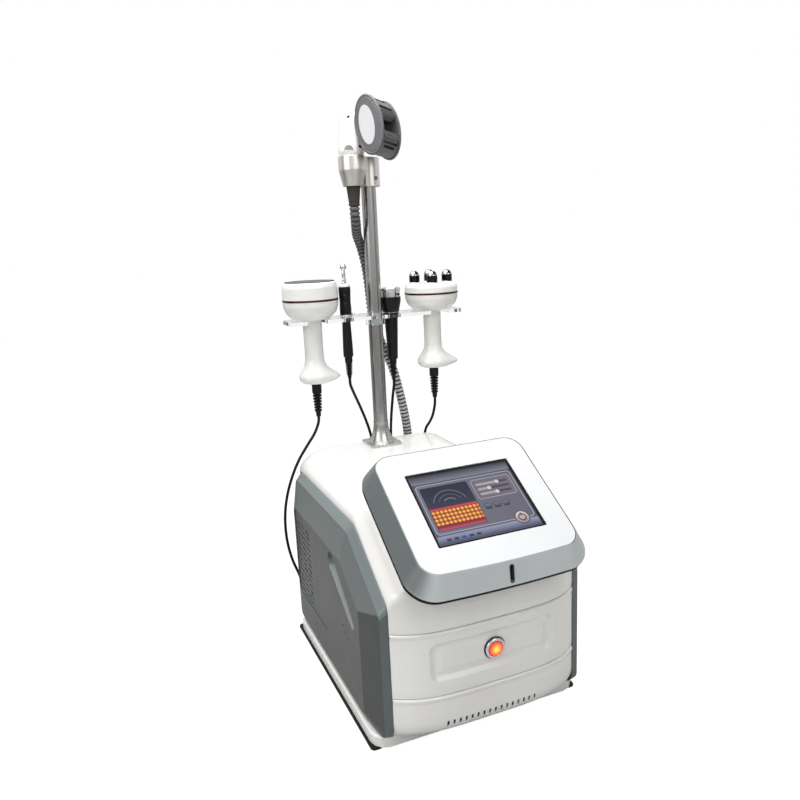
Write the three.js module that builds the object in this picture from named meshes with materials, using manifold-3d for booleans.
// Tabletop slimming machine: a moulded housing with grey side panels, a tilted touch screen,
// a pole with a clear shelf of handpieces and a vacuum roller handpiece in a cup on top.
// Millimetres, +Z up, +X to the right seen from the front, -Y to the front.
// The origin is the middle of the footprint, on the surface that the machine stands on.
import * as THREE from 'three';
import { mergeVertices } from 'three/addons/utils/BufferGeometryUtils.js';
import Module from 'manifold-3d';

const wasm = await Module();
wasm.setup();

// Sizes that every piece shares
const clearance = 0.3;
const overrun = 6;
const roundSteps = 3;

// Moulded white housing, open at the sides and the back
const shell = {
  halfWidth: 145, rearY: 226, bottomZ: 22, toeRadius: 31,
  frontSideY: -183, frontBow: 26, slopeFootZ: 223, slopeTopY: -65, roofEdgeZ: 300,
  crownHeight: 36, shoulderWidth: 60, frontFillet: 16, roofFillet: 30, rearFillet: 5,
  wall: 4, lowerSeamZ: 90, upperSeamZ: 186, seamGap: 1.2,
  recessHalfWidth: 96, recessLowZ: 113, recessHighZ: 168, recessCorner: 12, recessDepth: 2,
  frontSlotCount: 16, frontSlotPitch: 9.2, frontSlotWidth: 3.4, frontSlotHeight: 9, frontSlotZ: 45,
};

// Grey side panels with an edge strip, broad facets, a vent field and a lifting recess
const side = {
  bottomZ: 22, cornerRadius: 22, lip: 2, stripDepth: 12, stripUpper: 10, stripFront: 3, stripBottom: 4,
  faceDepth: 19.5,
  facetFront: 66, facetSlope: 62, facetTop: 60, facetRear: 12, facetBottom: 9, wall: 3,
  ventCount: 14, ventPitch: 9.8, ventHeight: 4, ventFrontY: 125, ventLength: 78, ventLowZ: 88,
  ventFieldFrontY: 48, ventFieldLowZ: 76, ventFieldHighZ: 238, ventFieldCorner: 14,
  ventFieldRearY: 212, ventFieldDepth: 1.6,
  gripUpperY: 0, gripUpperZ: 221, gripLowerY: -88, gripLowerZ: 158,
  gripUpperRadius: 15, gripLowerRadius: 8, gripDepth: 11, gripDraft: 4,
  dotRadius: 2, dotDepth: 2, dotCount: 4, dotFirstY: -41, dotFirstZ: 134, dotStepY: -12.7, dotStepZ: -5.4,
};

// Base tray and the two rubber rails that it stands on
const base = {
  overhang: 22, height: 17.4, frontY: -166, railWidth: 18, railHeight: 4, railOutset: 3, railFrontY: -158,
  cornerRadius: 24, edgeRound: 3,
};

// Screen console, in its own frame: x across, y up the slope, z out of the face plate
const screen = {
  pivotY: -244.4, pivotZ: 288.6, tiltDegrees: 32.2,
  plateHalfWidth: 117, plateLength: 200, plateCorner: 24, plateThickness: 3, frontBow: 4,
  rimLip: 2, trayDepth: 27, traySideFlare: 20, trayFrontFlare: 22, trayBackFlare: 6,
  trayCorner: 40, trayBottomRound: 3, pocketDepth: 20, pocketMargin: 14,
  windowHalfWidth: 82, windowLength: 125, windowLow: 35.5, glassSink: 1.2,
  moduleMargin: 5, moduleDepth: 14, windowCorner: 2,
  neckInset: 26, neckDepth: 52, cardSlotX: 3.6, cardSlotWidth: 3.6, cardSlotLength: 22, cardSlotDepth: 4,
};

// Lit push button on the front
const button = {
  z: 141, holeRadius: 12.8, bezelRadius: 15.2, bezelHeight: 4.5, bezelRound: 1.4,
  barrelLength: 30, capRadius: 11, capProud: 6.4, capLength: 16, capDome: 1.6, travel: 3, barrelWall: 1.2,
};

// Pole, its foot, and the bracket with the cup on top
const pole = {
  x: 2.5, y: 194, radius: 12.5, wall: 1.6, topZ: 826,
  footHalf: 28, footThickness: 4, footCorner: 3, trumpetRadius: 24, trumpetHeight: 42, trumpetWall: 1.2,
};
const bracket = {
  bottomZ: 783, topZ: 830, sleeveRadius: 20, cupX: -32, cupY: 172, cupRadius: 22.5,
  cupFootRadius: 16.5, cupTaperZ: 808, webHalf: 11, cupWall: 2.6, throatRadius: 13,
};

// Clear shelf that the small handpieces hang in
const shelf = {
  z: 564, thickness: 6, halfLength: 158, frontY: 160, rearY: 217, corner: 10,
  bigX: 112, bigSlotHalf: 17.2, penX: -51, penHoleRadius: 9.6, wandX: 36, wandY: 203, wandHoleRadius: 12.6,
  collarRadius: 16.6, collarHeight: 12,
};

// Vacuum roller handpiece
const vacuum = {
  drumX: 5.5, drumY: 145, drumZ: 871, drumYaw: 33, drumTilt: 14.4, drumRoll: 6.4,
  drumHalfHeight: 48.4, drumHalfDepth: 26.8, drumLength: 53, cheekThickness: 5, cheekStep: 2,
  cavityHalfWidth: 20.5, cavityHalfHeight: 30, cavityDepth: 27, cavityDrop: 4,
  rollerRadius: 8.5, rollerRise: 18.5, rollerForward: 16.5, rollerEndGap: 0.6,
  slotRise: 37.5, slotHeight: 4.2, slotDepth: 11, slotHalfWidth: 14,
  bodyTopZ: 900, bodyRadius: 21.5, bodyFootZ: 787, bodyFootRadius: 12.2, seatZ: 810,
  shoulderShift: 15, shoulderBack: 6, shoulderWide: 31, shoulderDeep: 25,
  cuffTopRadius: 12, cuffFootRadius: 9.2, cuffFootZ: 752,
  lift: 60,
};

// Flat cavitation handpiece (left) and dome electrode handpiece (right), heights from the shelf top
const flatHead = {
  x: -112, headRadius: 46.8, cupFootRadius: 32, cupHeight: 31, ringHeight: 2.6, ringProud: 0.4,
  capHeight: 28, capRound: 6, discRadius: 38.5, discThickness: 3, discProud: 1,
  neckRadius: 16, bulbRadius: 28, beakReach: 15, handleLength: 111,
};
const domeHead = {
  x: 112, headRadius: 47.3, cupFootRadius: 33, cupHeight: 27.5, ringHeight: 2.6, ringProud: 0.4,
  capHeight: 15.3, capRound: 5, electrodeCount: 4, electrodeCircle: 29, electrodeTurn: 20,
  electrodeRadius: 9.3, electrodeHeight: 22.5, electrodeSeat: 3,
  neckRadius: 15.6, bulbRadius: 29, beakReach: 18, handleLength: 107,
};

// Thin pen and thick wand, heights from the shelf top
const pen = {
  bodyRadius: 10, waistRadius: 7.2, tailRadius: 8.6, topHeight: 50, tailDrop: 70,
  collarHeight: 5, collarRadius: 7.6, shaftRadius: 3.2, shaftHeight: 28, ballRadius: 5.4, lift: 70,
};
const wand = {
  headRadius: 18.6, headHeight: 16, headRound: 2, coneHeight: 26, coneFootRadius: 14.6,
  waistRadius: 11.8, tailRadius: 8.8, tailDrop: 84, lift: 60,
};

// Strain reliefs: a collar, ribs and a nose that the cable leaves
const relief = { collarRadius: 8.4, collarShare: 0.3, ribRadius: 7.2, ribCount: 5, coreRadius: 4.6, noseShare: 0.14 };
const reliefLength = { flatHead: 58, domeHead: 56, pen: 38, wand: 34 };

const cable = { radius: 2.5, sides: 8, stepShare: 3.8 };
const hose = { radius: 8.5, valleyRadius: 7, boreRadius: 4.4, ribPitch: 10, ribShare: 0.55, points: 8, boreEvery: 3 };

// Back of the machine
const rear = {
  panelThickness: 3, glandY: 12, glandZ: 172, glandRadius: 6, glandLength: 10,
  glandBoxHalf: 9, glandBoxHeight: 16, flatGlandX: -84, penGlandX: -34, wandGlandX: 58, domeGlandX: 122,
  elbowX: -62, elbowY: 24, elbowZ: 226, elbowRadius: 10.5, elbowFlange: 18, elbowFlangeThickness: 4,
  elbowBend: 16, elbowDrop: 10,
  fanX: 78, fanZ: 92, fanHalf: 40, fanDepth: 25, fanRadius: 36.5, hubRadius: 13, bladeCount: 7,
  bladeTwistDegrees: 38, bladeThickness: 1.6, tipGap: 1.4, spokeWidth: 5, spokeThickness: 3, grilleRings: 2,
  grilleGap: 5, inletFromSide: 27, inletZ: 56, inletHalfX: 15, inletHalfZ: 11, inletDepth: 16, inletFlange: 3.4,
  inletWall: 2.4, pinWidth: 5, pinThickness: 2, pinLength: 9, pinSpread: 7, pinDrop: 3,
  switchZ: 100, switchHalfX: 6.5, switchHalfZ: 9.5, switchDepth: 8, switchProud: 2.4, switchTilt: 6,
};

// Inside the housing
const inside = {
  pumpRadius: 34, pumpLength: 96, pumpX: -70, pumpY: 40, pumpHeadHalf: 42, pumpHeadHeight: 46,
  supplyX: 60, supplyY: -40, supplyHalfX: 49, supplyHalfY: 80, supplyHeight: 50,
  boardX: 70, boardY: 92, boardHalfX: 55, boardHalfY: 48, boardThickness: 1.6, boardStand: 10, standRadius: 3,
  chipHalf: 9, chipHeight: 4, sinkHalf: 14, sinkHeight: 16,
};

// Routes of the cables and the hose, from the handpiece to the back of the machine
const flatCableRoute = [
  [-112, 194, 401], [-113, 194.4, 391], [-120, 199, 371], [-133, 207.5, 348], [-147, 215.5, 323],
  [-159, 223, 294], [-168.5, 230, 262], [-174.5, 236, 228], [-176.5, 239, 195], [-174.5, 241, 160],
  [-168, 242, 126], [-158, 242, 95], [-150, 242, 65], [-144, 244, 38], [-141, 252, 16],
  [-139, 266, 5.5], [-137, 282, 2.9], [-133, 310, 2.8], [-127, 340, 2.8], [-117, 366, 2.8],
  [-101, 382, 2.8], [-82, 380, 2.8], [-72, 362, 2.8], [-72, 335, 2.8], [-76, 305, 2.8],
  [-80, 280, 2.9], [-82, 264, 5.5], [-83.5, 250, 17], [-84, 242, 40], [-84, 238.6, 75],
  [-84, 238, 110], [-84, 238, 143], [-84, 238, 153.4],
];
const penCableRoute = [
  [-51, 194, 461.7], [-50.6, 194.4, 451], [-43.5, 200, 434], [-32, 208, 410], [-17.5, 219, 378],
  [-6, 229.5, 348], [1, 237, 316], [2, 240.5, 272], [0, 241.5, 215], [-4, 241.5, 160],
  [-6, 241.5, 105], [-6, 242, 64], [-6, 244, 34], [-6, 252, 13], [-6, 265, 4.6],
  [-5, 282, 2.9], [-2, 306, 2.8], [1, 335, 2.8], [-3, 362, 2.8], [-18, 380, 2.8],
  [-37, 378, 2.8], [-48, 360, 2.8], [-47, 335, 2.8], [-42, 306, 2.8], [-37, 282, 2.9],
  [-35, 265, 4.6], [-34.2, 252, 13], [-34, 244.4, 32], [-34, 240.4, 60], [-34, 238.4, 90],
  [-34, 238, 120], [-34, 238, 143], [-34, 238, 153.4],
];
const wandCableRoute = [
  [36, 203, 451.7], [36, 203.6, 441], [34.5, 208, 420], [34, 216, 392], [35, 226, 362],
  [36.5, 234, 330], [37, 239, 290], [36.5, 241, 240], [36, 241.5, 180], [36, 241.5, 120],
  [36, 242, 68], [36, 244, 35], [36, 252, 13], [36, 265, 4.6], [35, 282, 2.9],
  [31, 308, 2.8], [29, 338, 2.8], [34, 364, 2.8], [50, 379, 2.8], [68, 373, 2.8],
  [76, 352, 2.8], [73, 325, 2.8], [66, 300, 2.8], [61, 281, 2.9], [59, 265, 4.6],
  [58.2, 252, 13], [58, 244.4, 32], [58, 240.4, 60], [58, 238.4, 90], [58, 238, 120],
  [58, 238, 143], [58, 238, 153.4],
];
const domeCableRoute = [
  [112, 194, 407], [111.8, 194.6, 395], [110.5, 202, 373], [108.8, 214, 356], [107.5, 229, 341],
  [106, 237, 318], [103.5, 240.5, 280], [101, 241.5, 225], [100, 241.5, 165], [100, 241.5, 110],
  [100, 242, 66], [100, 244, 35], [100, 252, 13], [100, 265, 4.6], [99, 282, 2.9],
  [96, 308, 2.8], [93, 338, 2.8], [98, 364, 2.8], [112, 380, 2.8], [131, 378, 2.8],
  [142, 360, 2.8], [142, 332, 2.8], [135, 305, 2.8], [127, 281, 2.9], [124, 265, 4.6],
  [122.4, 252, 13], [122, 244.4, 32], [122, 240.4, 60], [122, 238.4, 90], [122, 238, 120],
  [122, 238, 143], [122, 238, 153.4],
];
const hoseRoute = [
  [-32, 172, 751.7], [-32, 172.1, 741], [-28.5, 180, 725], [-19.5, 202.5, 705], [-10.5, 214.5, 690],
  [-3.5, 221.5, 672], [2, 225.5, 650], [5.5, 228, 626], [8, 229.5, 598], [11, 231, 568],
  [17, 231.5, 540], [30, 231.5, 503], [46, 230.5, 462], [59, 232, 410], [71, 240, 358], [78, 249, 318],
  [81, 255, 270], [80, 257, 215], [79, 257.5, 165], [73, 257.5, 120], [57, 257, 80],
  [31, 256.5, 56], [4, 255.5, 50], [-23, 254, 58], [-46, 252, 83], [-58.5, 250.6, 118],
  [-62, 250, 156], [-62, 250, 184], [-62, 250, 199.7],
];

const degrees = Math.PI / 180;
const at = (x, y, z) => new THREE.Matrix4().makeTranslation(x, y, z);
const turned = (x, y, z) => new THREE.Matrix4().makeRotationFromEuler(new THREE.Euler(x, y, z));

// Solids: a closed geometry becomes a manifold solid and comes back as a geometry
function signedVolume(position, index) {
  const [a, b, c] = [new THREE.Vector3(), new THREE.Vector3(), new THREE.Vector3()];
  let sum = 0;
  for (let i = 0; i < index.length; i += 3) {
    a.fromBufferAttribute(position, index[i]);
    b.fromBufferAttribute(position, index[i + 1]);
    c.fromBufferAttribute(position, index[i + 2]);
    sum += a.dot(b.cross(c));
  }
  return sum;
}

function solid(source, matrix = null) {
  let geometry = source.clone();
  geometry.deleteAttribute('normal');
  geometry.deleteAttribute('uv');
  if (matrix) geometry.applyMatrix4(matrix);
  geometry = mergeVertices(geometry);
  const all = geometry.index.array;
  const kept = [];
  for (let i = 0; i < all.length; i += 3) {
    const [a, b, c] = [all[i], all[i + 1], all[i + 2]];
    if (a !== b && b !== c && c !== a) kept.push(a, b, c);
  }
  if (signedVolume(geometry.attributes.position, kept) < 0) kept.reverse();
  return new wasm.Manifold(new wasm.Mesh({
    numProp: 3,
    vertProperties: Float32Array.from(geometry.attributes.position.array),
    triVerts: Uint32Array.from(kept),
  }));
}

function geometryOf(body) {
  const mesh = body.getMesh();
  const geometry = new THREE.BufferGeometry();
  geometry.setAttribute('position', new THREE.BufferAttribute(mesh.vertProperties, 3));
  geometry.setIndex(new THREE.BufferAttribute(mesh.triVerts, 1));
  geometry.computeVertexNormals();
  return geometry;
}

// Basic forms
const box = (x0, x1, y0, y1, z0, z1) => solid(
  new THREE.BoxGeometry(x1 - x0, y1 - y0, z1 - z0), at((x0 + x1) / 2, (y0 + y1) / 2, (z0 + z1) / 2));

function rod(radius, z0, z1, segments = 24, matrix = null) {
  const along = at(0, 0, (z0 + z1) / 2).multiply(turned(Math.PI / 2, 0, 0));
  return solid(new THREE.CylinderGeometry(radius, radius, z1 - z0, segments), matrix ? matrix.clone().multiply(along) : along);
}

function revolve(profile, segments = 32, matrix = null) {
  const points = profile.map(([r, z]) => new THREE.Vector2(r, z));
  const upright = turned(Math.PI / 2, 0, 0);
  return solid(new THREE.LatheGeometry(points, segments), matrix ? matrix.clone().multiply(upright) : upright);
}

function prism(points, z0, z1, matrix = null) {
  const flat = new THREE.Shape(points);
  const lifted = at(0, 0, z0);
  const geometry = new THREE.ExtrudeGeometry(flat, { depth: z1 - z0, bevelEnabled: false });
  return solid(geometry, matrix ? matrix.clone().multiply(lifted) : lifted);
}

// A corner list becomes a closed outline whose corners are arcs
function rounded(corners, radii, steps = roundSteps) {
  const outline = [];
  corners.forEach((corner, i) => {
    const before = corners[(i + corners.length - 1) % corners.length].clone().sub(corner).normalize();
    const after = corners[(i + 1) % corners.length].clone().sub(corner).normalize();
    const half = Math.acos(THREE.MathUtils.clamp(before.dot(after), -1, 1)) / 2;
    const radius = radii[i];
    const centre = before.clone().add(after).normalize().multiplyScalar(radius / Math.sin(half)).add(corner);
    const start = before.multiplyScalar(radius / Math.tan(half)).add(corner).sub(centre);
    const end = after.multiplyScalar(radius / Math.tan(half)).add(corner).sub(centre);
    const sweep = Math.atan2(start.cross(end), start.dot(end));
    for (let k = 0; k <= steps; k += 1) {
      outline.push(start.clone().rotateAround(new THREE.Vector2(), sweep * k / steps).add(centre));
    }
  });
  return outline;
}

function roundedBox(x0, x1, y0, y1, radius, steps = roundSteps) {
  const corners = [[x0, y0], [x1, y0], [x1, y1], [x0, y1]].map(([x, y]) => new THREE.Vector2(x, y));
  return rounded(corners, corners.map(() => radius), steps);
}

// Each edge of an outline moves inwards by its own amount
function inset(corners, amounts) {
  const lines = corners.map((corner, i) => {
    const next = corners[(i + 1) % corners.length];
    const along = next.clone().sub(corner).normalize();
    const inward = new THREE.Vector2(-along.y, along.x);
    return { point: corner.clone().addScaledVector(inward, amounts[i]), along };
  });
  return lines.map((line, i) => {
    const before = lines[(i + lines.length - 1) % lines.length];
    const gap = line.point.clone().sub(before.point);
    const share = gap.cross(line.along) / before.along.cross(line.along);
    return before.point.clone().addScaledVector(before.along, share);
  });
}

// Rings with the same number of points become one closed body
function loft(rings, matrix = null) {
  const count = rings[0].length;
  const position = rings.flat().flatMap((p) => [p.x, p.y, p.z]);
  const index = [];
  for (let r = 0; r + 1 < rings.length; r += 1) {
    for (let i = 0; i < count; i += 1) {
      const j = (i + 1) % count;
      const [a, b, c, d] = [r * count + i, r * count + j, (r + 1) * count + j, (r + 1) * count + i];
      index.push(a, b, c, a, c, d);
    }
  }
  [rings[0], rings[rings.length - 1]].forEach((ring, last) => {
    const centre = ring.reduce((sum, p) => sum.add(p), new THREE.Vector3()).divideScalar(count);
    const middle = position.length / 3;
    position.push(centre.x, centre.y, centre.z);
    const first = last * (rings.length - 1) * count;
    for (let i = 0; i < count; i += 1) {
      const pair = [first + i, first + (i + 1) % count];
      if (last) index.push(middle, pair[0], pair[1]);
      else index.push(middle, pair[1], pair[0]);
    }
  });
  const geometry = new THREE.BufferGeometry();
  geometry.setAttribute('position', new THREE.Float32BufferAttribute(position, 3));
  geometry.setIndex(index);
  return solid(geometry, matrix);
}

const ellipseRing = (x, y, z, rx, ry, count = 22) => Array.from({ length: count }, (_, i) => {
  const angle = 2 * Math.PI * i / count;
  return new THREE.Vector3(x + rx * Math.cos(angle), y + ry * Math.sin(angle), z);
});

// Materials
const finish = (color, roughness, metalness = 0, more = {}) => (
  new THREE.MeshStandardMaterial({ color, roughness, metalness, ...more }));
const paints = {
  white: () => finish(0xeeeeec, 0.28), greyPanel: () => finish(0x7d8a88, 0.4), greyTray: () => finish(0x97a0a4, 0.35),
  black: () => finish(0x1b1b1c, 0.55), rubber: () => finish(0x161617, 0.85), steel: () => finish(0xb9b7b2, 0.32, 1),
  chrome: () => finish(0xd8d8da, 0.12, 1), glass: () => finish(0x3c3e50, 0.1), clear: () => finish(0xe6eef0, 0.08, 0,
    { transparent: true, opacity: 0.4 }),
  roller: () => finish(0x82807f, 0.5), lit: () => finish(0xff5a1c, 0.25), trim: () => finish(0x6b3b38, 0.3, 0.6),
  hose: () => finish(0x77797a, 0.5), board: () => finish(0x1f5a3a, 0.6), metalBox: () => finish(0xa9adaf, 0.45, 0.9),
};

const machine = new THREE.Group();
const console3d = new THREE.Group();
console3d.position.set(0, screen.pivotY, screen.pivotZ);
console3d.rotation.x = screen.tiltDegrees * degrees;
console3d.updateMatrixWorld(true);
machine.add(console3d);

function piece(name, body, material, parent = machine) {
  const mesh = new THREE.Mesh(geometryOf(body), material());
  mesh.name = name;
  parent.add(mesh);
}

// Housing
const slopeAngle = Math.atan2(shell.roofEdgeZ - shell.slopeFootZ, shell.slopeTopY - shell.frontSideY);

function housingRing(x, depth) {
  const half = shell.halfWidth - depth;
  const across = Math.min(Math.abs(x) / half, 1);
  const frontY = shell.frontSideY - shell.frontBow * (1 - across ** 4) + depth;
  const reach = Math.max(0, Math.abs(x) - half + shell.shoulderWidth) / shell.shoulderWidth;
  const crown = shell.crownHeight * Math.sqrt(Math.max(0, 1 - reach ** 2));
  const slopeZ = (y) => shell.slopeFootZ + (y - shell.frontSideY) * Math.tan(slopeAngle)
    + crown - depth / Math.cos(slopeAngle);
  const roofZ = shell.roofEdgeZ + crown - depth;
  const ridgeY = shell.frontSideY + (roofZ - slopeZ(shell.frontSideY)) / Math.tan(slopeAngle);
  const rearY = shell.rearY + (depth > 0 ? overrun : 0);
  const corners = [[rearY, shell.bottomZ + depth], [frontY, shell.bottomZ + depth], [frontY, slopeZ(frontY)],
    [ridgeY, roofZ], [rearY, roofZ]].map(([y, z]) => new THREE.Vector2(y, z));
  const radii = [shell.rearFillet, shell.toeRadius - depth, shell.frontFillet - depth, shell.roofFillet - depth,
    shell.rearFillet];
  return rounded(corners, radii).map((p) => new THREE.Vector3(x, p.x, p.y));
}

function housing(depth) {
  const half = shell.halfWidth - depth;
  const shoulder = [0, 25, 46, 64, 78, 90].map((a) => (
    half - shell.shoulderWidth + shell.shoulderWidth * Math.sin(a * degrees)));
  const right = [(half - shell.shoulderWidth) / 2, ...shoulder];
  if (depth > 0) right.push(shell.halfWidth + overrun);
  const stations = [...right.map((x) => -x).reverse(), 0, ...right];
  return loft(stations.map((x) => housingRing(x, depth)));
}

const housingOuter = housing(0);
const housingInner = housing(shell.wall);
const everywhere = 2 * (shell.rearY + shell.roofEdgeZ);
const slice = (z0, z1) => box(-everywhere, everywhere, -everywhere, everywhere, z0, z1);
const skin = housingOuter.subtract(housingInner);
const frontY = shell.frontSideY - shell.frontBow;
const buttonAxis = at(0, frontY + shell.recessDepth, button.z).multiply(turned(Math.PI / 2, 0, 0));

function lowerShell() {
  const band = skin.intersect(slice(-everywhere, shell.lowerSeamZ - shell.seamGap / 2));
  const slots = Array.from({ length: shell.frontSlotCount }, (_, i) => {
    const x = (i - (shell.frontSlotCount - 1) / 2) * shell.frontSlotPitch - shell.frontSlotPitch / 2;
    return box(x - shell.frontSlotWidth / 2, x + shell.frontSlotWidth / 2, frontY - overrun,
      frontY + shell.wall + overrun, shell.frontSlotZ - shell.frontSlotHeight / 2,
      shell.frontSlotZ + shell.frontSlotHeight / 2);
  });
  const trimmed = slots.reduce((whole, slot) => whole.subtract(slot), band);
  return trimmed.intersect(box(-shell.halfWidth, shell.halfWidth, -everywhere, shell.rearY, 0, everywhere));
}

function middleFront() {
  const outline = roundedBox(-shell.recessHalfWidth, shell.recessHalfWidth, shell.recessLowZ, shell.recessHighZ,
    shell.recessCorner);
  const facing = at(0, frontY + shell.frontBow, 0).multiply(turned(Math.PI / 2, 0, 0));
  const window = prism(outline, 0, shell.frontBow + overrun, facing);
  const recess = window.intersect(housingOuter.subtract(housing(shell.recessDepth)));
  const hole = rod(button.holeRadius, -shell.wall - overrun, overrun, 24, buttonAxis);
  return skin.intersect(slice(shell.lowerSeamZ + shell.seamGap / 2, shell.upperSeamZ - shell.seamGap / 2))
    .subtract(recess).subtract(hole);
}

const upperShell = () => skin.intersect(slice(shell.upperSeamZ + shell.seamGap / 2, everywhere));

// Side panels
const sideCorners = [[shell.rearY, side.bottomZ], [shell.frontSideY, side.bottomZ],
  [shell.frontSideY, shell.slopeFootZ], [shell.slopeTopY, shell.roofEdgeZ], [shell.rearY, shell.roofEdgeZ]]
  .map(([y, z]) => new THREE.Vector2(y, z)).reverse();
// Edge order after the reversal: top, slope, front, bottom, rear
const evenInset = (amount) => [amount, amount, amount, amount, amount];
const stripInset = [side.stripUpper, side.stripUpper, side.stripFront, side.stripBottom, side.stripUpper];
const facetInset = [side.facetTop, side.facetSlope, side.facetFront, side.facetBottom, side.facetRear];

function sideRing(x, amounts, scale, steps = roundSteps) {
  const radii = [side.cornerRadius, shell.roofFillet, shell.frontFillet, side.cornerRadius, side.cornerRadius];
  const corners = inset(sideCorners, amounts);
  return rounded(corners, radii.map((r) => r * scale), steps).map((p) => new THREE.Vector3(x, p.x, p.y));
}

function gripOutline(grow) {
  const upper = new THREE.Vector2(side.gripUpperY, side.gripUpperZ);
  const lower = new THREE.Vector2(side.gripLowerY, side.gripLowerZ);
  const along = lower.clone().sub(upper);
  const lean = Math.atan2(along.y, along.x);
  const wrap = Math.acos((side.gripUpperRadius - side.gripLowerRadius) / along.length());
  const arc = (centre, radius, from, to) => Array.from({ length: 7 }, (_, i) => {
    const angle = lean + from + (to - from) * i / 6;
    return new THREE.Vector2(centre.x + radius * Math.cos(angle), centre.y + radius * Math.sin(angle));
  });
  return [...arc(upper, side.gripUpperRadius + grow, wrap, 2 * Math.PI - wrap),
    ...arc(lower, side.gripLowerRadius + grow, -wrap, wrap)];
}

function gripBlock(grow, x0, x1, draft) {
  const ring = (x, g) => gripOutline(g).map((p) => new THREE.Vector3(x, p.x, p.y));
  return loft([ring(x0, grow - draft), ring(x1, grow)]);
}

function sidePanel(sign) {
  const x0 = shell.halfWidth + clearance;
  const faceX = x0 + side.faceDepth;
  const outer = loft([sideRing(x0, evenInset(0), 1), sideRing(x0 + side.lip, evenInset(0), 1),
    sideRing(x0 + side.stripDepth, stripInset, 0.7), sideRing(faceX, facetInset, 0.5)]);
  const within = [
    [x0 - overrun, evenInset(side.wall), 0.9], [x0 + side.lip, evenInset(side.wall), 0.9],
    [x0 + side.stripDepth - side.wall, stripInset.map((a) => a + side.wall / 2), 0.6],
    [faceX - side.wall, facetInset.map((a) => a + side.wall / 2), 0.45]];
  const hollow = loft(within.map(([x, amounts, scale]) => sideRing(x, amounts, scale, 1)));
  const floorX = faceX - side.gripDepth;
  const gripWall = gripBlock(side.wall, x0 - overrun, faceX + overrun, 0);
  const gripCut = gripBlock(side.gripDraft, floorX, faceX + overrun, side.gripDraft);
  const field = prism(roundedBox(side.ventFieldFrontY, side.ventFieldRearY, side.ventFieldLowZ, side.ventFieldHighZ,
    side.ventFieldCorner), faceX - side.ventFieldDepth, faceX + overrun, new THREE.Matrix4().set(
    0, 0, 1, 0, 1, 0, 0, 0, 0, 1, 0, 0, 0, 0, 0, 1));
  let panel = outer.subtract(hollow.subtract(gripWall)).subtract(gripCut).subtract(field);
  for (let i = 0; i < side.ventCount; i += 1) {
    const z = side.ventLowZ + i * side.ventPitch;
    panel = panel.subtract(box(x0 - overrun, faceX + overrun, side.ventFrontY, side.ventFrontY + side.ventLength,
      z - side.ventHeight / 2, z + side.ventHeight / 2));
  }
  for (let i = 0; i < side.dotCount; i += 1) {
    const centre = at(faceX, side.dotFirstY + i * side.dotStepY, side.dotFirstZ + i * side.dotStepZ)
      .multiply(turned(0, Math.PI / 2, 0));
    panel = panel.subtract(rod(side.dotRadius, -side.dotDepth, overrun, 8, centre));
  }
  return sign > 0 ? panel : panel.mirror([1, 0, 0]);
}

// Base
function baseTray() {
  const top = shell.bottomZ - clearance;
  const half = shell.halfWidth + base.overhang;
  const ring = (inward, z) => roundedBox(-half + inward, half - inward, base.frontY + inward,
    shell.rearY - inward, base.cornerRadius).map((p) => new THREE.Vector3(p.x, p.y, z));
  return loft([ring(0, top - base.height), ring(0, top - base.edgeRound),
    ring(base.edgeRound * 0.3, top - base.edgeRound * 0.3), ring(base.edgeRound, top)]);
}

function footRail(sign) {
  const outer = shell.halfWidth + base.overhang + base.railOutset;
  const [x0, x1] = [sign * outer, sign * (outer - base.railWidth)].sort((a, b) => a - b);
  const outline = roundedBox(x0, x1, base.railFrontY, shell.rearY - base.edgeRound / 2, base.railWidth / 3, 3);
  return prism(outline, 0, base.railHeight);
}

// Console
function plateRing(grow, front, back, corner, z) {
  const half = screen.plateHalfWidth + grow;
  const [low, high] = [-front, screen.plateLength + back];
  const outline = roundedBox(-half, half, low, high, corner, 4);
  const middle = (low + high) / 2;
  const dense = outline.flatMap((p, i) => {
    const next = outline[(i + 1) % outline.length];
    const long = p.distanceTo(next) > screen.plateHalfWidth;
    return long ? [0, 1 / 4, 1 / 2, 3 / 4].map((s) => p.clone().lerp(next, s)) : [p];
  });
  return dense.map((p) => {
    const bow = p.y < middle ? screen.frontBow * (1 - (p.x / half) ** 2) : 0;
    return new THREE.Vector3(p.x, p.y - bow * (middle - p.y) / (middle - low), z);
  });
}

function consoleHousing() {
  const lipZ = -clearance * 3;
  const floorZ = -screen.trayDepth - screen.trayBottomRound;
  const outer = loft([
    plateRing(screen.rimLip, screen.rimLip, screen.rimLip, screen.plateCorner + screen.rimLip, lipZ),
    plateRing(screen.traySideFlare, screen.trayFrontFlare, screen.trayBackFlare, screen.trayCorner,
      -screen.trayDepth),
    plateRing(screen.traySideFlare - screen.trayBottomRound, screen.trayFrontFlare - screen.trayBottomRound,
      screen.trayBackFlare - screen.trayBottomRound, screen.trayCorner, floorZ)]);
  const rebate = loft([clearance, overrun].map((z, i) => plateRing(clearance, clearance, clearance,
    screen.plateCorner, i ? z : -screen.plateThickness - clearance)));
  const pocket = loft([overrun, -screen.pocketDepth].map((z) => plateRing(-screen.pocketMargin,
    -screen.pocketMargin, -screen.pocketMargin, screen.plateCorner, z)));
  const faceLean = Math.atan2(screen.trayFrontFlare - screen.rimLip, screen.trayDepth);
  const slotFrame = at(screen.cardSlotX, -(screen.trayFrontFlare + screen.rimLip) / 2 - screen.frontBow,
    -screen.trayDepth / 2).multiply(turned(-faceLean, 0, 0));
  const slot = prism(roundedBox(-screen.cardSlotWidth / 2, screen.cardSlotWidth / 2, -screen.cardSlotLength / 2,
    screen.cardSlotLength / 2, screen.cardSlotWidth / 2.2, 3), -screen.cardSlotDepth, overrun,
  slotFrame.multiply(turned(Math.PI / 2, 0, 0)));
  return outer.subtract(rebate).subtract(pocket).subtract(slot);
}

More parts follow.
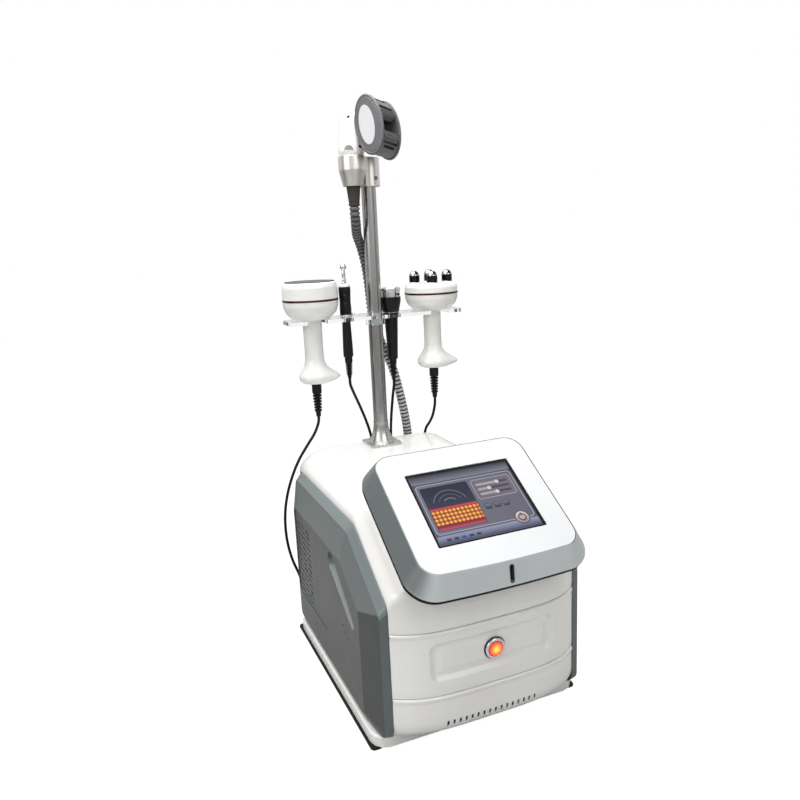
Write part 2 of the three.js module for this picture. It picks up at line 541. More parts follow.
const windowOutline = (grow, corner) => roundedBox(-screen.windowHalfWidth - grow, screen.windowHalfWidth + grow,
  screen.windowLow - grow, screen.windowLow + screen.windowLength + grow, corner, 3);

function facePlate() {
  const edge = screen.plateThickness / 3;
  const blank = loft([plateRing(0, 0, 0, screen.plateCorner, -screen.plateThickness),
    plateRing(0, 0, 0, screen.plateCorner, -edge),
    plateRing(-edge, -edge, -edge, screen.plateCorner - edge, 0)]);
  return blank.subtract(prism(windowOutline(0, screen.windowCorner), -screen.plateThickness - overrun, overrun));
}

function touchScreen() {
  const under = -screen.plateThickness - clearance;
  const glass = prism(windowOutline(-clearance, screen.windowCorner), under - overrun / 2, -screen.glassSink);
  const frame = prism(windowOutline(screen.moduleMargin, screen.windowCorner), under - screen.moduleDepth, under);
  return glass.add(frame);
}

// The neck fills the room between the console's underside and the crowned front slope
function consoleNeck() {
  const top = -screen.trayDepth - screen.trayBottomRound - clearance;
  const block = loft([top, top - screen.neckDepth].map((z) => plateRing(-screen.neckInset, -screen.neckInset,
    -screen.neckInset, screen.plateCorner, z)), console3d.matrixWorld);
  const gap = housing(0).translate([0, 0, clearance]);
  return block.subtract(gap.add(housingOuter).add(housingOuter.translate([0, -clearance, 0])));
}

// Button
function buttonBezel() {
  const inner = button.capRadius + clearance;
  const barrel = button.capRadius + button.barrelWall;
  return revolve([[inner, -button.barrelLength + button.barrelWall], [inner, button.bezelHeight - button.bezelRound],
    [inner + button.bezelRound, button.bezelHeight], [button.bezelRadius - button.bezelRound, button.bezelHeight],
    [button.bezelRadius, button.bezelHeight - button.bezelRound], [button.bezelRadius, clearance],
    [barrel, clearance], [barrel, -button.barrelLength], [0, -button.barrelLength],
    [0, -button.barrelLength + button.barrelWall], [inner, -button.barrelLength + button.barrelWall]],
  20, buttonAxis);
}

function buttonCap() {
  const low = button.capProud - button.capLength;
  return revolve([[0, low], [button.capRadius, low], [button.capRadius, button.capProud - button.capDome],
    [button.capRadius * 0.8, button.capProud - button.capDome / 3], [0, button.capProud]], 20, buttonAxis);
}

// Pole and what it carries
const roofZ = shell.roofEdgeZ + shell.crownHeight;
const poleAxis = at(pole.x, pole.y, 0);

function poleFoot() {
  const low = roofZ + clearance;
  const bore = pole.radius + clearance;
  const half = pole.footHalf;
  const plate = prism(roundedBox(pole.x - half, pole.x + half, pole.y - half, pole.y + half, pole.footCorner, 2), low,
    low + pole.footThickness);
  const flare = [];
  const steps = 4;
  for (let i = 0; i <= steps; i += 1) {
    const share = i / steps;
    const reach = pole.trumpetRadius - bore - pole.trumpetWall;
    flare.push([bore + pole.trumpetWall + reach * (1 - share) ** 3, low + pole.trumpetHeight * share]);
  }
  const trumpet = revolve([[0, low], ...flare, [0, low + pole.trumpetHeight]], 20, poleAxis);
  return plate.add(trumpet).subtract(rod(bore, low - overrun, low + pole.trumpetHeight + overrun, 24, poleAxis));
}

const poleTube = () => rod(pole.radius, roofZ + clearance, pole.topZ, 24, poleAxis)
  .subtract(rod(pole.radius - pole.wall, roofZ, pole.topZ + overrun, 24, poleAxis));

function topBracket() {
  const cup = at(bracket.cupX, bracket.cupY, 0);
  const sleeve = rod(bracket.sleeveRadius, bracket.bottomZ, bracket.topZ, 24, poleAxis);
  const bowl = revolve([[0, bracket.bottomZ], [bracket.cupFootRadius, bracket.bottomZ],
    [bracket.cupRadius - bracket.cupWall, bracket.cupTaperZ], [bracket.cupRadius, bracket.topZ],
    [0, bracket.topZ]], 24, cup);
  const across = new THREE.Vector2(bracket.cupX - pole.x, bracket.cupY - pole.y);
  const web = box(0, across.length(), -bracket.webHalf, bracket.webHalf, bracket.bottomZ, bracket.topZ)
    .transform(poleAxis.clone().multiply(turned(0, 0, Math.atan2(across.y, across.x))).toArray());
  const bore = revolve([[0, bracket.bottomZ - overrun], [bracket.throatRadius, bracket.bottomZ - overrun],
    [bracket.throatRadius, bracket.bottomZ], [bracket.throatRadius + clearance, vacuum.bodyFootZ],
    [bracket.cupRadius - 2 * bracket.cupWall, vacuum.seatZ], [bracket.cupRadius - bracket.cupWall, bracket.topZ],
    [bracket.cupRadius - bracket.cupWall, bracket.topZ + overrun], [0, bracket.topZ + overrun]], 24, cup);
  const poleBore = rod(pole.radius + clearance, bracket.bottomZ - overrun, pole.topZ + clearance, 24, poleAxis);
  return sleeve.add(bowl).add(web).subtract(bore).subtract(poleBore);
}

function handpieceShelf() {
  const top = shelf.z + shelf.thickness;
  let plate = prism(roundedBox(-shelf.halfLength, shelf.halfLength, shelf.frontY, shelf.rearY, shelf.corner),
    shelf.z, top);
  const through = (x, y, r) => rod(r, shelf.z - overrun, top + overrun, 24, at(x, y, 0));
  [-shelf.bigX, shelf.bigX].forEach((x) => {
    plate = plate.subtract(through(x, pole.y, shelf.bigSlotHalf));
    plate = plate.subtract(box(x - shelf.bigSlotHalf, x + shelf.bigSlotHalf, shelf.frontY - overrun, pole.y,
      shelf.z - overrun, top + overrun));
  });
  return plate.subtract(through(pole.x, pole.y, pole.radius + clearance))
    .subtract(through(shelf.penX, pole.y, shelf.penHoleRadius))
    .subtract(through(shelf.wandX, shelf.wandY, shelf.wandHoleRadius));
}

const shelfCollar = () => rod(shelf.collarRadius, shelf.z - clearance - shelf.collarHeight, shelf.z - clearance, 24,
  poleAxis).subtract(rod(pole.radius + clearance, shelf.z - 2 * overrun - shelf.collarHeight, shelf.z + overrun, 24,
  poleAxis));

// Vacuum handpiece
const drumFrame = at(vacuum.drumX, vacuum.drumY, vacuum.drumZ)
  .multiply(turned(0, 0, vacuum.drumYaw * degrees)).multiply(turned(0, vacuum.drumRoll * degrees, 0))
  .multiply(turned(-vacuum.drumTilt * degrees, 0, 0));

function drumOval(grow) {
  return Array.from({ length: 28 }, (_, i) => {
    const angle = 2 * Math.PI * i / 28;
    return new THREE.Vector2((vacuum.drumHalfDepth + grow) * Math.cos(angle),
      (vacuum.drumHalfHeight + grow) * Math.sin(angle));
  });
}

function drumSlab(grow, x0, x1) {
  const upright = new THREE.Matrix4().set(0, 0, 1, 0, 1, 0, 0, 0, 0, 1, 0, 0, 0, 0, 0, 1);
  return prism(drumOval(grow), x0, x1, drumFrame.clone().multiply(upright));
}

const inDrum = (body) => body.transform(drumFrame.toArray());

function rollerAt(sign) {
  const reach = vacuum.cavityHalfWidth - vacuum.rollerEndGap;
  const frame = drumFrame.clone().multiply(at(0, -vacuum.rollerForward, sign * vacuum.rollerRise - vacuum.cavityDrop))
    .multiply(turned(0, Math.PI / 2, 0));
  return rod(vacuum.rollerRadius, -reach, reach, 20, frame);
}

function rollerHeadShell() {
  const half = vacuum.drumLength / 2;
  const inner = half - vacuum.cheekThickness;
  const drum = drumSlab(-vacuum.cheekStep, -half + clearance, half - clearance)
    .add(drumSlab(0, -half, -inner)).add(drumSlab(0, inner, half));
  const front = -vacuum.drumHalfDepth - overrun;
  const cavity = inDrum(box(-vacuum.cavityHalfWidth, vacuum.cavityHalfWidth, front,
    front + overrun + vacuum.cavityDepth, -vacuum.cavityHalfHeight - vacuum.cavityDrop,
    vacuum.cavityHalfHeight - vacuum.cavityDrop));
  const slots = [-1, 1].map((sign) => inDrum(box(-vacuum.slotHalfWidth, vacuum.slotHalfWidth, front,
    front + overrun + vacuum.slotDepth + vacuum.drumHalfDepth / 3,
    sign * vacuum.slotRise - vacuum.slotHeight / 2, sign * vacuum.slotRise + vacuum.slotHeight / 2)));
  return drum.subtract(cavity).subtract(slots[0]).subtract(slots[1]);
}

function vacuumHandle() {
  const [x, y] = [bracket.cupX, bracket.cupY];
  const shift = vacuum.shoulderShift;
  const back = vacuum.shoulderBack;
  const climb = vacuum.bodyTopZ - bracket.topZ;
  const levels = [
    [0, 0, vacuum.bodyFootZ + clearance, vacuum.bodyFootRadius, vacuum.bodyFootRadius],
    [0, 0, vacuum.seatZ, vacuum.bodyFootRadius + bracket.cupWall, vacuum.bodyFootRadius + bracket.cupWall],
    [0, 0, bracket.topZ, vacuum.bodyRadius - bracket.cupWall, vacuum.bodyRadius - bracket.cupWall],
    [0, 0, bracket.topZ + climb * 0.08, vacuum.bodyRadius, vacuum.bodyRadius],
    [shift * 0.45, back * 0.5, bracket.topZ + climb * 0.34, (vacuum.bodyRadius + vacuum.shoulderWide) / 2,
      (vacuum.bodyRadius + vacuum.shoulderDeep) / 2],
    [shift, back, bracket.topZ + climb * 0.6, vacuum.shoulderWide, vacuum.shoulderDeep],
    [shift, back, bracket.topZ + climb * 0.82, vacuum.shoulderWide * 0.92, vacuum.shoulderDeep * 0.9],
    [shift, back, bracket.topZ + climb * 0.95, vacuum.shoulderWide * 0.66, vacuum.shoulderDeep * 0.62],
    [shift, back, vacuum.bodyTopZ, vacuum.shoulderWide * 0.25, vacuum.shoulderDeep * 0.22],
  ];
  const body = loft(levels.map(([dx, dy, z, rx, ry]) => ellipseRing(x + dx, y + dy, z, rx, ry)));
  const half = vacuum.drumLength / 2 + clearance;
  return body.subtract(drumSlab(clearance, -half, half + 2 * overrun));
}

const hoseCuff = () => revolve([[0, vacuum.cuffFootZ], [vacuum.cuffFootRadius, vacuum.cuffFootZ],
  [vacuum.cuffTopRadius, vacuum.bodyFootZ - 2 * clearance], [0, vacuum.bodyFootZ - 2 * clearance]], 24,
at(bracket.cupX, bracket.cupY, 0));

// Big handpieces: a waisted handle whose foot swells into a beak, a head cup, a ring and a cap
const shelfTop = shelf.z + shelf.thickness;
const seat = shelfTop + clearance;
// Each row: height share from the top of the handle down, radius share of the bulb, beak share
const bulbShares = [[0.56, 0, 0], [0.64, 0.06, 0], [0.72, 0.3, 0.08], [0.79, 0.66, 0.4], [0.85, 0.93, 0.8],
  [0.9, 1, 1], [0.945, 0.84, 0.92], [0.98, 0.4, 0.45], [1, 0, 0]];

function handleBody(kind) {
  const count = 20;
  const ring = (z, radius, beak) => Array.from({ length: count }, (_, i) => {
    const angle = 2 * Math.PI * i / count;
    const reach = radius + beak * Math.max(0, Math.cos(angle)) ** 3;
    return new THREE.Vector3(kind.x + reach * Math.cos(angle), pole.y + reach * Math.sin(angle), z);
  });
  const rings = [ring(seat + kind.cupHeight / 2, kind.neckRadius, 0), ring(seat, kind.neckRadius, 0)];
  bulbShares.forEach(([down, swell, beak]) => {
    const foot = down === 1 ? relief.collarRadius : kind.neckRadius;
    rings.push(ring(seat - kind.handleLength * down, foot + (kind.bulbRadius - kind.neckRadius) * swell,
      kind.beakReach * beak));
  });
  const cup = revolve([[0, seat], [kind.cupFootRadius, seat], [kind.headRadius * 0.9, seat + kind.cupHeight * 0.36],
    [kind.headRadius * 0.98, seat + kind.cupHeight * 0.71], [kind.headRadius, seat + kind.cupHeight],
    [0, seat + kind.cupHeight]], 28, at(kind.x, pole.y, 0));
  return loft(rings).add(cup);
}

function headRing(kind) {
  const low = seat + kind.cupHeight + clearance;
  return rod(kind.headRadius + kind.ringProud, low, low + kind.ringHeight, 28, at(kind.x, pole.y, 0));
}

const capFoot = (kind) => seat + kind.cupHeight + kind.ringHeight + 2 * clearance;

function headCap(kind) {
  const low = capFoot(kind);
  const high = low + kind.capHeight;
  const round = kind.capRound;
  return revolve([[0, low], [kind.headRadius, low], [kind.headRadius, high - round],
    [kind.headRadius - round * 0.3, high - round * 0.3], [kind.headRadius - round, high], [0, high]], 28,
  at(kind.x, pole.y, 0));
}

function flatCap() {
  const high = capFoot(flatHead) + flatHead.capHeight;
  return headCap(flatHead).subtract(rod(flatHead.discRadius + clearance,
    high + flatHead.discProud - flatHead.discThickness - clearance, high + overrun, 28, at(flatHead.x, pole.y, 0)));
}

function flatDisc() {
  const high = capFoot(flatHead) + flatHead.capHeight + flatHead.discProud;
  const edge = flatHead.discProud / 2;
  return revolve([[0, high - flatHead.discThickness], [flatHead.discRadius, high - flatHead.discThickness],
    [flatHead.discRadius, high - edge], [flatHead.discRadius - edge, high], [0, high]], 28,
  at(flatHead.x, pole.y, 0));
}

const electrodeFrame = (i) => {
  const angle = 2 * Math.PI * i / domeHead.electrodeCount - domeHead.electrodeTurn * degrees;
  return at(domeHead.x + domeHead.electrodeCircle * Math.cos(angle),
    pole.y + domeHead.electrodeCircle * Math.sin(angle), capFoot(domeHead) + domeHead.capHeight);
};

function domeCap() {
  let cap = headCap(domeHead);
  for (let i = 0; i < domeHead.electrodeCount; i += 1) {
    cap = cap.subtract(rod(domeHead.electrodeRadius + clearance, -domeHead.electrodeSeat - clearance, overrun, 14,
      electrodeFrame(i)));
  }
  return cap;
}

function domeElectrode(i) {
  const r = domeHead.electrodeRadius;
  const shoulderZ = domeHead.electrodeHeight - r;
  const dome = [0, 30, 60, 90].map((a) => [r * Math.cos(a * degrees), shoulderZ + r * Math.sin(a * degrees)]);
  return revolve([[0, -domeHead.electrodeSeat], [r, -domeHead.electrodeSeat], ...dome.slice(0, -1),
    [0, domeHead.electrodeHeight]], 14, electrodeFrame(i));
}

// Strain relief that hangs from a handpiece
function strainRelief(x, y, top, length, scale) {
  const [low, high] = [top - length, top - clearance];
  const collarZ = high - length * relief.collarShare;
  const noseZ = low + length * relief.noseShare;
  const pitch = (collarZ - noseZ) / relief.ribCount;
  const profile = [[0, high], [relief.collarRadius * scale, high], [relief.collarRadius * scale, collarZ]];
  for (let i = 0; i < relief.ribCount; i += 1) {
    const z = collarZ - i * pitch;
    const rib = relief.ribRadius * scale * (1 - 0.03 * i);
    profile.push([relief.coreRadius * scale, z - pitch * 0.2], [rib, z - pitch * 0.7]);
  }
  profile.push([relief.coreRadius * scale * 1.2, noseZ], [relief.coreRadius * scale, low], [0, low]);
  return revolve(profile, 10, at(x, y, 0));
}

// Pen and wand hang in the shelf by a shoulder
function penBody() {
  const top = shelfTop + pen.topHeight;
  return revolve([[0, shelfTop - pen.tailDrop], [pen.tailRadius, shelfTop - pen.tailDrop],
    [pen.tailRadius, shelfTop - pen.tailDrop * 0.8], [pen.waistRadius, shelf.z - overrun / 2],
    [pen.waistRadius, seat], [pen.bodyRadius, seat], [pen.bodyRadius, shelfTop + pen.topHeight * 0.3],
    [pen.bodyRadius * 1.04, top - pen.collarHeight], [pen.bodyRadius, top], [0, top]], 16,
  at(shelf.penX, pole.y, 0));
}

const penTop = shelfTop + pen.topHeight + clearance;
const penCollar = () => revolve([[0, penTop], [pen.bodyRadius, penTop],
  [pen.collarRadius, penTop + pen.collarHeight], [0, penTop + pen.collarHeight]], 16, at(shelf.penX, pole.y, 0));

function penTip() {
  const low = penTop + pen.collarHeight + clearance;
  const ballZ = low + pen.shaftHeight;
  const ball = [-60, -30, 0, 30, 60].map((a) => (
    [pen.ballRadius * Math.cos(a * degrees), ballZ + pen.ballRadius * Math.sin(a * degrees)]));
  return revolve([[0, low], [pen.shaftRadius * 1.4, low], [pen.shaftRadius, low + pen.shaftHeight * 0.2],
    [pen.shaftRadius * 0.8, ballZ - pen.ballRadius], ...ball, [0, ballZ + pen.ballRadius]], 12,
  at(shelf.penX, pole.y, 0));
}

const wandAxis = at(shelf.wandX, shelf.wandY, 0);
function wandBody() {
  const coneTop = seat + wand.coneHeight;
  return revolve([[0, shelfTop - wand.tailDrop], [wand.tailRadius, shelfTop - wand.tailDrop],
    [wand.waistRadius, shelf.z - overrun], [wand.waistRadius, seat], [wand.coneFootRadius, seat],
    [wand.headRadius, coneTop - wand.coneHeight / 4], [wand.headRadius, coneTop], [0, coneTop]], 20, wandAxis);
}

function wandHead() {
  const low = seat + wand.coneHeight + clearance;
  const high = low + wand.headHeight;
  const r = wand.headRadius;
  return revolve([[0, low], [r * 0.93, low], [r * 0.93, high - wand.headHeight / 3], [r, high - wand.headHeight / 4],
    [r, high - wand.headRound], [r - wand.headRound, high], [0, high]], 20, wandAxis);
}

// Free cables and the ribbed hose
const curveThrough = (route) => new THREE.CatmullRomCurve3(route.map(([x, y, z]) => new THREE.Vector3(x, y, z)),
  false, 'centripetal');

function freeCable(route) {
  const curve = curveThrough(route);
  const steps = Math.min(80, Math.round(curve.getLength() / (2 * cable.radius * cable.stepShare)));
  const section = Array.from({ length: cable.sides }, (_, i) => {
    const angle = 2 * Math.PI * (i + 0.5) / cable.sides;
    return new THREE.Vector2(cable.radius * Math.cos(angle), cable.radius * Math.sin(angle));
  });
  return solid(new THREE.ExtrudeGeometry(new THREE.Shape(section), { steps, extrudePath: curve, bevelEnabled: false }));
}

// Rings of points square to the route; crests and valleys alternate, and the bore is a plain tube
function hoseTube() {
  const curve = curveThrough(hoseRoute);
  const length = curve.getLength();
  const ribs = Math.round((length - 4 * hose.radius) / hose.ribPitch);
  const pitch = (length - 4 * hose.radius) / ribs;
  const stops = [[0, hose.radius]];
  for (let i = 0; i < ribs; i += 1) {
    const start = 2 * hose.radius + i * pitch;
    stops.push([start + pitch * (1 - hose.ribShare) / 2, hose.valleyRadius], [start + pitch / 2, hose.radius]);
  }
  stops.push([length, hose.radius]);
  const frames = curve.computeFrenetFrames(400, false);
  const ringAt = (distance, radius) => {
    const share = distance / length;
    const k = Math.round(share * 400);
    const centre = curve.getPointAt(share);
    return Array.from({ length: hose.points }, (_, i) => {
      const angle = 2 * Math.PI * i / hose.points;
      return centre.clone().addScaledVector(frames.normals[k], radius * Math.cos(angle))
        .addScaledVector(frames.binormals[k], radius * Math.sin(angle));
    });
  };
  const outside = loft(stops.map(([d, r]) => ringAt(d, r)));
  const boreCount = Math.round(ribs / hose.boreEvery);
  const reach = length + 2 * clearance;
  const boreRings = Array.from({ length: boreCount + 1 }, (_, i) => ringAt(length * i / boreCount, hose.boreRadius));
  const firstWay = curve.getTangentAt(0).multiplyScalar(-overrun);
  const lastWay = curve.getTangentAt(1).multiplyScalar(overrun);
  const bore = loft([boreRings[0].map((p) => p.clone().add(firstWay)), ...boreRings.slice(1, -1),
    boreRings[boreCount].map((p) => p.clone().add(lastWay))]);
  return reach > 0 ? outside.subtract(bore) : outside;
}

// Least distance between turns of the hose that are not neighbours along it
function leastHoseGap() {
  const curve = curveThrough(hoseRoute);
  const points = curve.getSpacedPoints(200);
  const near = Math.ceil(6 * hose.radius / (curve.getLength() / 200));
  let least = Infinity;
  points.forEach((p, i) => points.slice(i + near).forEach((q) => {
    least = Math.min(least, p.distanceTo(q) - 2 * hose.radius);
  }));
  return least;
}

// The inlet and its switch stand above each other by the left side
const inletX = -shell.halfWidth + rear.inletFromSide;

// Rear panel with four right-angle cable outlets, an opening for the fan, and the inlet and switch holes
const panelY = shell.rearY - rear.panelThickness;
const facingRear = (x, z) => at(x, shell.rearY, z).multiply(turned(-Math.PI / 2, 0, 0));

function rearPanel() {
  const gap = shell.wall + clearance;
  let panel = housing(gap).intersect(box(-shell.halfWidth + clearance, shell.halfWidth - clearance, panelY,
    shell.rearY, shell.bottomZ + gap, everywhere));
  [rear.flatGlandX, rear.penGlandX, rear.wandGlandX, rear.domeGlandX].forEach((x) => {
    const y = shell.rearY + rear.glandY;
    panel = panel.add(box(x - rear.glandBoxHalf, x + rear.glandBoxHalf, panelY + rear.panelThickness / 2,
      y + rear.glandBoxHalf, rear.glandZ - rear.glandBoxHeight / 2, rear.glandZ + rear.glandBoxHeight / 2));
    const low = rear.glandZ - rear.glandBoxHeight / 2;
    panel = panel.add(revolve([[0, low - rear.glandLength], [rear.glandRadius * 0.7, low - rear.glandLength],
      [rear.glandRadius, low - rear.glandLength * 0.6], [rear.glandRadius, low + clearance], [0, low + clearance]],
    10, at(x, y, 0)));
  });
  const slot = 2 * rear.grilleGap;
  const pitch = rear.fanRadius / rear.grilleRings;
  for (let i = 0; i < rear.grilleRings; i += 1) {
    const outer = rear.fanRadius - i * pitch;
    const ring = rod(outer, -rear.panelThickness - overrun, overrun, 20, facingRear(rear.fanX, rear.fanZ))
      .subtract(rod(Math.max(outer - pitch + slot / 3, rear.grilleGap), -rear.panelThickness - 2 * overrun,
        2 * overrun, 20, facingRear(rear.fanX, rear.fanZ)));
    const bars = [0, 1].map((k) => box(-rear.fanHalf, rear.fanHalf, -rear.spokeWidth / 2, rear.spokeWidth / 2,
      -2 * overrun, 3 * overrun).transform(facingRear(rear.fanX, rear.fanZ)
      .multiply(turned(0, 0, (k + 1 / 2) * Math.PI / 2)).toArray()));
    panel = panel.subtract(ring.subtract(bars[0]).subtract(bars[1]));
  }
  const holes = [[inletX, rear.inletZ, rear.inletHalfX, rear.inletHalfZ], [inletX, rear.switchZ,
    rear.switchHalfX + rear.inletWall, rear.switchHalfZ + rear.inletWall]];
  holes.forEach(([x, z, halfX, halfZ]) => {
    panel = panel.subtract(box(x - halfX - clearance, x + halfX + clearance, panelY - overrun,
      shell.rearY + overrun, z - halfZ - clearance, z + halfZ + clearance));
  });
  return panel;
}

function mainsInlet() {
  const { inletZ: z, inletHalfX: hx, inletHalfZ: hz, inletWall: wall } = rear;
  const x = inletX;
  const faceY = shell.rearY + clearance + rear.inletWall;
  const flange = box(x - hx - rear.inletFlange, x + hx + rear.inletFlange, shell.rearY + clearance, faceY,
    z - hz - rear.inletFlange, z + hz + rear.inletFlange);
  const tub = box(x - hx, x + hx, faceY - rear.inletDepth, faceY, z - hz, z + hz);
  const hollow = box(x - hx + wall, x + hx - wall, faceY - rear.inletDepth + wall, faceY + overrun, z - hz + wall,
    z + hz - wall);
  const floorY = faceY - rear.inletDepth + wall;
  const pins = [[-rear.pinSpread, -rear.pinDrop], [rear.pinSpread, -rear.pinDrop], [0, rear.pinDrop]].map(([dx, dz]) => (
    box(x + dx - rear.pinThickness / 2, x + dx + rear.pinThickness / 2, floorY - wall / 2, floorY + rear.pinLength,
      z + dz - rear.pinWidth / 2, z + dz + rear.pinWidth / 2)));
  return pins.reduce((whole, pin) => whole.add(pin), flange.add(tub).subtract(hollow));
}

// The rocker turns about a bar across its frame
function rockerSwitch() {
  const { switchHalfX: hx, switchHalfZ: hz, switchDepth: depth, switchProud: proud } = rear;
  const lean = rear.switchTilt * degrees;
  const outline = [[-hz, 0], [0, -proud * 0.4], [hz, 0], [hz * 0.9, -depth], [-hz * 0.9, -depth]]
    .map(([a, b]) => new THREE.Vector2(a, b + proud));
  const frame = at(inletX, shell.rearY + clearance, rear.switchZ)
    .multiply(new THREE.Matrix4().set(0, 0, 1, 0, 0, 1, 0, 0, 1, 0, 0, 0, 0, 0, 0, 1));
  return prism(outline, -hx, hx, frame.multiply(turned(0, 0, lean)));
}

function switchFrame() {
  const { switchZ: z, switchHalfX: hx, switchHalfZ: hz, inletWall: wall } = rear;
  const x = inletX;
  const gap = 4 * clearance;
  const y0 = shell.rearY - rear.switchDepth - overrun;
  const body = box(x - hx - wall, x + hx + wall, y0, shell.rearY + clearance, z - hz - wall, z + hz + wall)
    .add(box(x - hx - 2 * wall, x + hx + 2 * wall, shell.rearY + clearance, shell.rearY + clearance + wall / 2,
      z - hz - 2 * wall, z + hz + 2 * wall));
  return body.subtract(box(x - hx - clearance, x + hx + clearance, y0 + wall, shell.rearY + overrun, z - hz - gap,
    z + hz + gap));
}

// Fan: a square frame with a spoked motor seat, and a rotor of twisted blades
const fanBack = panelY - clearance;
const fanFrame = () => {
  const { fanX: x, fanZ: z, fanHalf: half } = rear;
  const front = fanBack - rear.fanDepth;
  const housingRingBody = box(x - half, x + half, front, fanBack, z - half, z + half)
    .subtract(rod(rear.fanRadius, -everywhere, everywhere, 28, facingRear(x, z)));
  const local = at(x, front, z);
  const spokes = [0, 1].map((k) => box(-half, half, 0, rear.spokeThickness, -rear.spokeWidth / 2, rear.spokeWidth / 2)
    .transform(local.clone().multiply(turned(0, (k + 1 / 2) * Math.PI / 2, 0)).toArray())
    .intersect(box(x - half, x + half, front, fanBack, z - half, z + half)));
  const motor = rod(rear.hubRadius, -rear.spokeThickness, 0, 24,
    at(x, front, z).multiply(turned(Math.PI / 2, 0, 0)));
  const pin = rod(rear.spokeWidth / 2, -rear.fanDepth * 0.7, 0, 12,
    at(x, front, z).multiply(turned(Math.PI / 2, 0, 0)));
  return housingRingBody.add(spokes[0]).add(spokes[1]).add(motor).add(pin);
};

function fanRotor() {
  const { fanX: x, fanZ: z } = rear;
  const front = fanBack - rear.fanDepth + rear.spokeThickness + clearance;
  const back = fanBack - 2;
  const axis = at(x, front, z).multiply(turned(-Math.PI / 2, 0, 0));
  const deep = back - front;
  let rotor = rod(rear.hubRadius, 0, deep, 14, axis);
  const tip = rear.fanRadius - rear.tipGap;
  const blade = (turn) => {
    const rings = [0, 1 / 2, 1].map((share) => {
      const angle = rear.bladeTwistDegrees * degrees * (share - 1 / 2);
      const corners = [[rear.hubRadius - 2, -1], [tip, -1], [tip, 1], [rear.hubRadius - 2, 1]];
      return corners.map(([r, s]) => {
        const spin = turn + angle + s * rear.bladeThickness / (2 * r);
        return new THREE.Vector3(r * Math.cos(spin), r * Math.sin(spin), deep * (0.08 + 0.84 * share));
      });
    });
    return loft(rings, axis);
  };
  for (let i = 0; i < rear.bladeCount; i += 1) rotor = rotor.add(blade(2 * Math.PI * i / rear.bladeCount));
  return rotor.subtract(rod(rear.spokeWidth / 2 + clearance, -overrun, rear.fanDepth * 0.72, 12, axis));
}

// The hose stub turns down from the rear panel
function hoseElbow() {
  const { elbowX: x, elbowZ: z, elbowRadius: r, elbowBend: bend } = rear;
  const start = shell.rearY + clearance;
  const mouthY = shell.rearY + rear.elbowY;
  const path = new THREE.CurvePath();
  const corner = new THREE.Vector3(x, mouthY - bend, z);
  path.add(new THREE.LineCurve3(new THREE.Vector3(x, start, z), corner));
  path.add(new THREE.QuadraticBezierCurve3(corner, new THREE.Vector3(x, mouthY, z),
    new THREE.Vector3(x, mouthY, z - bend)));
  path.add(new THREE.LineCurve3(new THREE.Vector3(x, mouthY, z - bend),
    new THREE.Vector3(x, mouthY, z - bend - rear.elbowDrop)));
  const section = Array.from({ length: 14 }, (_, i) => (
    new THREE.Vector2(r * Math.cos(Math.PI * i / 7), r * Math.sin(Math.PI * i / 7))));
  const tube = solid(new THREE.ExtrudeGeometry(new THREE.Shape(section), { steps: 7, extrudePath: path,
    bevelEnabled: false }));
  return tube.add(rod(rear.elbowFlange, clearance, clearance + rear.elbowFlangeThickness, 28, facingRear(x, z)));
}

// Inner units stand on the floor of the lower shell
const floorTop = shell.bottomZ + shell.wall + clearance;

function vacuumPump() {
  const { pumpX: x, pumpY: y, pumpRadius: r } = inside;
  const axis = at(x, y, floorTop + r).multiply(turned(-Math.PI / 2, 0, 0));
  const barrel = rod(r, -inside.pumpLength, 0, 20, axis);
  const head = box(x - inside.pumpHeadHalf, x + inside.pumpHeadHalf, y - clearance, y + inside.pumpHeadHeight,
    floorTop, floorTop + 2 * r);
  const saddle = box(x - r / 2, x + r / 2, y - inside.pumpLength, y, floorTop, floorTop + r / 2);
  return barrel.add(head).add(saddle);
}

const powerSupply = () => box(inside.supplyX - inside.supplyHalfX, inside.supplyX + inside.supplyHalfX,
  inside.supplyY - inside.supplyHalfY, inside.supplyY + inside.supplyHalfY, floorTop,
  floorTop + inside.supplyHeight);

function controlBoard() {
  const { boardX: x, boardY: y, boardHalfX: hx, boardHalfY: hy } = inside;
  const low = floorTop + inside.boardStand;
  const high = low + inside.boardThickness;
  let board = box(x - hx, x + hx, y - hy, y + hy, low, high);
  [[-1, -1], [1, -1], [-1, 1], [1, 1]].forEach(([sx, sy]) => {
    board = board.add(rod(inside.standRadius, floorTop, high, 8,
      at(x + sx * (hx - 2 * inside.standRadius), y + sy * (hy - 2 * inside.standRadius), 0)));
  });
  const chip = inside.chipHalf;
  const sink = inside.sinkHalf;
  return board.add(box(x - 3 * chip, x - chip, y - chip, y + chip, high - clearance, high + inside.chipHeight))
    .add(box(x + sink, x + 3 * sink, y - sink, y + sink, high - clearance, high + inside.sinkHeight));
}

piece('base_tray', baseTray(), paints.white);
piece('foot_rail_left', footRail(-1), paints.rubber);
piece('foot_rail_right', footRail(1), paints.rubber);
piece('lower_shell', lowerShell(), paints.white);
piece('middle_front_panel', middleFront(), paints.white);
piece('upper_shell', upperShell(), paints.white);
piece('side_panel_left', sidePanel(-1), paints.greyPanel);
piece('side_panel_right', sidePanel(1), paints.greyPanel);
piece('rear_panel', rearPanel(), paints.metalBox);
piece('console_neck', consoleNeck(), paints.white);
piece('console_housing', consoleHousing(), paints.greyTray, console3d);
piece('face_plate', facePlate(), paints.white, console3d);
piece('touch_screen', touchScreen(), paints.glass, console3d);
piece('power_button_bezel', buttonBezel(), paints.chrome);
piece('power_button_lens', buttonCap(), paints.lit);
piece('pole_foot', poleFoot(), paints.steel);
piece('pole_tube', poleTube(), paints.steel);
piece('handpiece_shelf', handpieceShelf(), paints.clear);
piece('shelf_collar', shelfCollar(), paints.clear);
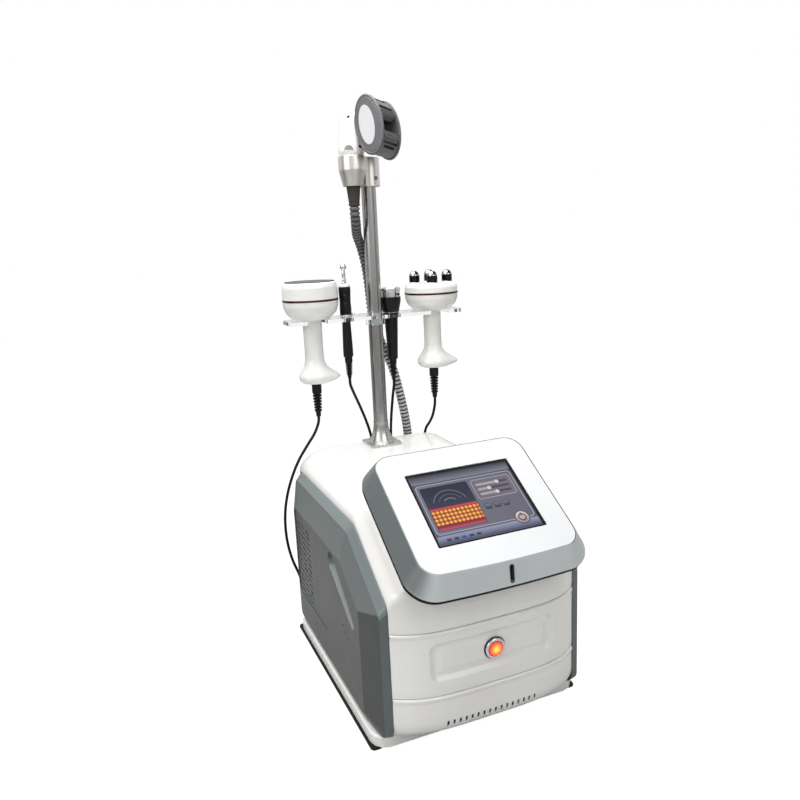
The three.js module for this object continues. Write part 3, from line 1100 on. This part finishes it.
piece('top_bracket', topBracket(), paints.steel);
piece('vacuum_handle', vacuumHandle(), paints.white);
piece('roller_head_shell', rollerHeadShell(), paints.roller);
piece('upper_roller', rollerAt(1), paints.roller);
piece('lower_roller', rollerAt(-1), paints.roller);
piece('hose_cuff', hoseCuff(), paints.rubber);
piece('suction_hose', hoseTube(), paints.hose);
piece('hose_elbow', hoseElbow(), paints.black);
piece('flat_handle', handleBody(flatHead), paints.white);
piece('flat_head_ring', headRing(flatHead), paints.trim);
piece('flat_head_cap', flatCap(), paints.white);
piece('flat_disc', flatDisc(), paints.steel);
piece('flat_strain_relief', strainRelief(flatHead.x, pole.y, seat - flatHead.handleLength, reliefLength.flatHead, 1),
  paints.rubber);
piece('flat_cable', freeCable(flatCableRoute), paints.rubber);
piece('dome_handle', handleBody(domeHead), paints.white);
piece('dome_head_ring', headRing(domeHead), paints.trim);
piece('dome_head_cap', domeCap(), paints.white);
for (let i = 0; i < domeHead.electrodeCount; i += 1) {
  piece(`dome_electrode_${i + 1}`, domeElectrode(i), paints.chrome);
}
piece('dome_strain_relief', strainRelief(domeHead.x, pole.y, seat - domeHead.handleLength, reliefLength.domeHead, 1),
  paints.rubber);
piece('dome_cable', freeCable(domeCableRoute), paints.rubber);
piece('pen_body', penBody(), paints.black);
piece('pen_collar', penCollar(), paints.white);
piece('pen_tip', penTip(), paints.chrome);
piece('pen_strain_relief', strainRelief(shelf.penX, pole.y, shelfTop - pen.tailDrop, reliefLength.pen, 0.8),
  paints.rubber);
piece('pen_cable', freeCable(penCableRoute), paints.rubber);
piece('wand_body', wandBody(), paints.black);
piece('wand_head', wandHead(), paints.chrome);
piece('wand_strain_relief', strainRelief(shelf.wandX, shelf.wandY, shelfTop - wand.tailDrop, reliefLength.wand, 0.75),
  paints.rubber);
piece('wand_cable', freeCable(wandCableRoute), paints.rubber);
piece('mains_inlet', mainsInlet(), paints.black);
piece('switch_frame', switchFrame(), paints.black);
piece('rocker_switch', rockerSwitch(), paints.lit);
piece('fan_frame', fanFrame(), paints.black);
piece('fan_rotor', fanRotor(), paints.black);
piece('vacuum_pump', vacuumPump(), paints.metalBox);
piece('power_supply', powerSupply(), paints.metalBox);
piece('control_board', controlBoard(), paints.board);

console.log(`least gap of the hose to itself: ${leastHoseGap().toFixed(1)} mm`);

export default machine;
